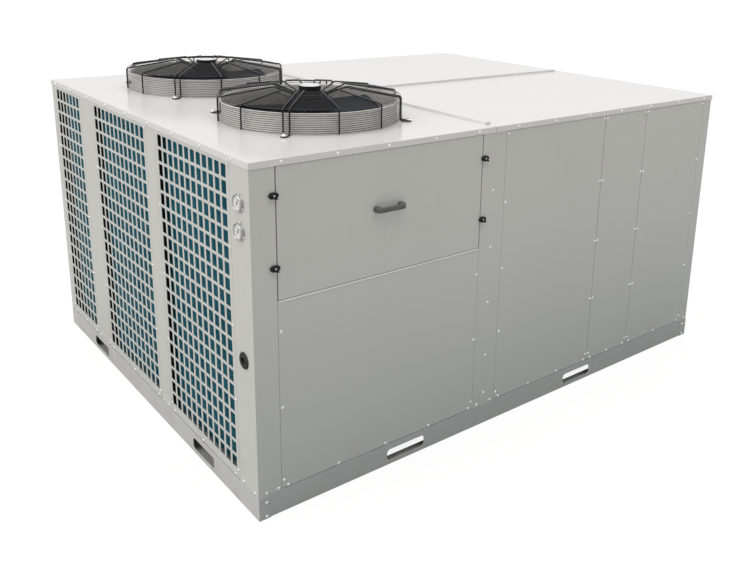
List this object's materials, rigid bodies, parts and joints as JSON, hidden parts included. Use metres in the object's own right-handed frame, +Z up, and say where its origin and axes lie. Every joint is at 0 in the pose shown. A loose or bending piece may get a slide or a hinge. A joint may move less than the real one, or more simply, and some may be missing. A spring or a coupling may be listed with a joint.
{
  "type": "rooftop air conditioner with scroll compressor",
  "caption": "Boxy packaged rooftop air conditioner: scroll compressor inside, punched coil guards, guarded roof fans, access door with turn-buttons, fork-slotted base.",
  "frame": {"origin": "middle of the footprint, on the plane that the base rails stand on", "axes": "+X along the service face away from the coil end, +Y across the cabinet towards the rear face, +Z up; the service face looks along -Y and the coil along -X"},
  "size_m": [2.7805, 2.2415, 1.5416],
  "materials": {
    "cabinet_paint": "satin powder coat, light warm grey",
    "roof_paint": "gloss white coat",
    "rail_paint": "satin powder coat, grey",
    "galvanised_sheet": "galvanised, spangled",
    "guard_wire": "gloss black coat",
    "motor_black": "black enamel",
    "impeller_black": "dark satin",
    "wheel_sheet": "galvanised",
    "zinc_steel": "zinc plated",
    "black_plastic": "moulded, fine texture",
    "handle_plastic": "moulded grey",
    "gauge_steel": "polished",
    "dial_white": "white, printed scale",
    "gauge_glass": "clear",
    "pointer_black": "matt",
    "rubber": "matt",
    "coil_fins": "blue coated fins",
    "copper": "copper tube",
    "compressor_paint": "dark enamel",
    "machined_iron": "machined",
    "machined_steel": "ground",
    "motor_core": "laminated",
    "filter_media": "pleated media"
  },
  "bodies": {
    "cabinet": {"corner_posts": "cabinet_paint", "middle_posts": "cabinet_paint", "top_frame": "cabinet_paint", "compressor_panel": "cabinet_paint", "access_door": "cabinet_paint", "wide_front_panel": "cabinet_paint", "narrow_front_panel": "cabinet_paint", "end_front_panel": "cabinet_paint", "closing_panels": "cabinet_paint", "return_panel": "cabinet_paint", "supply_panel": "cabinet_paint", "coil_guards": "cabinet_paint", "fan_deck": "roof_paint", "roof_sheets": "roof_paint", "roof_ribs": "roof_paint", "base_rails": "rail_paint", "base_pan": "galvanised_sheet", "floor_joists": "galvanised_sheet", "partitions": "galvanised_sheet", "control_box": "galvanised_sheet", "fan_nozzles": "galvanised_sheet", "compressor_base": "galvanised_sheet", "fan_guards": "guard_wire", "fan_motors": "motor_black", "blower_motor": "motor_black", "guard_bolts": "zinc_steel", "panel_screws": "zinc_steel", "terminal_box": "black_plastic", "contactors": "black_plastic", "door_handle": "handle_plastic", "gauge_cases": "gauge_steel", "gauge_dials": "dial_white", "gauge_glasses": "gauge_glass", "cable_grommet": "rubber", "rubber_mounts": "rubber", "condenser_coil": "coil_fins", "evaporator_coil": "coil_fins", "coil_pipework": "copper", "copper_pipes": "copper", "bottom_cap": "compressor_paint", "compressor_shell": "compressor_paint", "top_cap": "compressor_paint", "lower_bearing": "machined_iron", "main_frame": "machined_iron", "fixed_scroll": "machined_iron", "oldham_ring": "machined_iron", "stator": "motor_core", "filters": "filter_media"},
    "front_fan": {"front_impeller": "impeller_black"},
    "rear_fan": {"rear_impeller": "impeller_black"},
    "blower": {"blower_wheel": "wheel_sheet"},
    "crank": {"crankshaft": "machined_steel", "rotor": "machined_steel"},
    "orbiter": {"orbiting_scroll": "machined_iron"},
    "high_pressure_needle": {"high_pressure_pointer": "pointer_black"},
    "low_pressure_needle": {"low_pressure_pointer": "pointer_black"},
    "upper_left_latch": {"latch_upper_left": "black_plastic"},
    "lower_left_latch": {"latch_lower_left": "black_plastic"},
    "upper_right_latch": {"latch_upper_right": "black_plastic"},
    "lower_right_latch": {"latch_lower_right": "black_plastic"}
  },
  "joints": [
    {"name": "front_fan_spin", "type": "hinge", "parent": "cabinet", "child": "front_fan", "pos_m": [-0.772, -0.508, 1.4], "axis": [0, 0, 1], "continuous": true},
    {"name": "rear_fan_spin", "type": "hinge", "parent": "cabinet", "child": "rear_fan", "pos_m": [-0.772, 0.508, 1.4], "axis": [0, 0, 1], "continuous": true},
    {"name": "blower_spin", "type": "hinge", "parent": "cabinet", "child": "blower", "pos_m": [0.62, 0, 0.7], "axis": [1, 0, 0], "continuous": true},
    {"name": "crank_spin", "type": "hinge", "parent": "cabinet", "child": "crank", "pos_m": [-0.86, -0.7, 0.4], "axis": [0, 0, 1], "continuous": true},
    {"name": "scroll_orbit", "type": "hinge", "parent": "crank", "child": "orbiter", "pos_m": [-0.8523, -0.7, 0.46], "axis": [0, 0, 1], "continuous": true},
    {"name": "high_pressure_reading", "type": "hinge", "parent": "cabinet", "child": "high_pressure_needle", "pos_m": [-1.38, -1.026, 1.243], "axis": [-1, 0, 0], "range_deg": [-107, 163], "stiffness_Nm_per_rad": 0.01},
    {"name": "low_pressure_reading", "type": "hinge", "parent": "cabinet", "child": "low_pressure_needle", "pos_m": [-1.38, -1.026, 1.139], "axis": [-1, 0, 0], "range_deg": [-107, 163], "stiffness_Nm_per_rad": 0.01},
    {"name": "upper_left_latch_turn", "type": "hinge", "parent": "cabinet", "child": "upper_left_latch", "pos_m": [-1.289, -1.1, 1.272], "axis": [0, -1, 0], "range_deg": [0, 90]},
    {"name": "lower_left_latch_turn", "type": "hinge", "parent": "cabinet", "child": "lower_left_latch", "pos_m": [-1.289, -1.1, 1.004], "axis": [0, -1, 0], "range_deg": [0, 90]},
    {"name": "upper_right_latch_turn", "type": "hinge", "parent": "cabinet", "child": "upper_right_latch", "pos_m": [-0.288, -1.1, 1.272], "axis": [0, -1, 0], "range_deg": [0, 90]},
    {"name": "lower_right_latch_turn", "type": "hinge", "parent": "cabinet", "child": "lower_right_latch", "pos_m": [-0.288, -1.1, 1.004], "axis": [0, -1, 0], "range_deg": [0, 90]}
  ],
  "couplings": [
    {"joint": "scroll_orbit", "follows": "crank_spin", "ratio": -1}
  ]
}
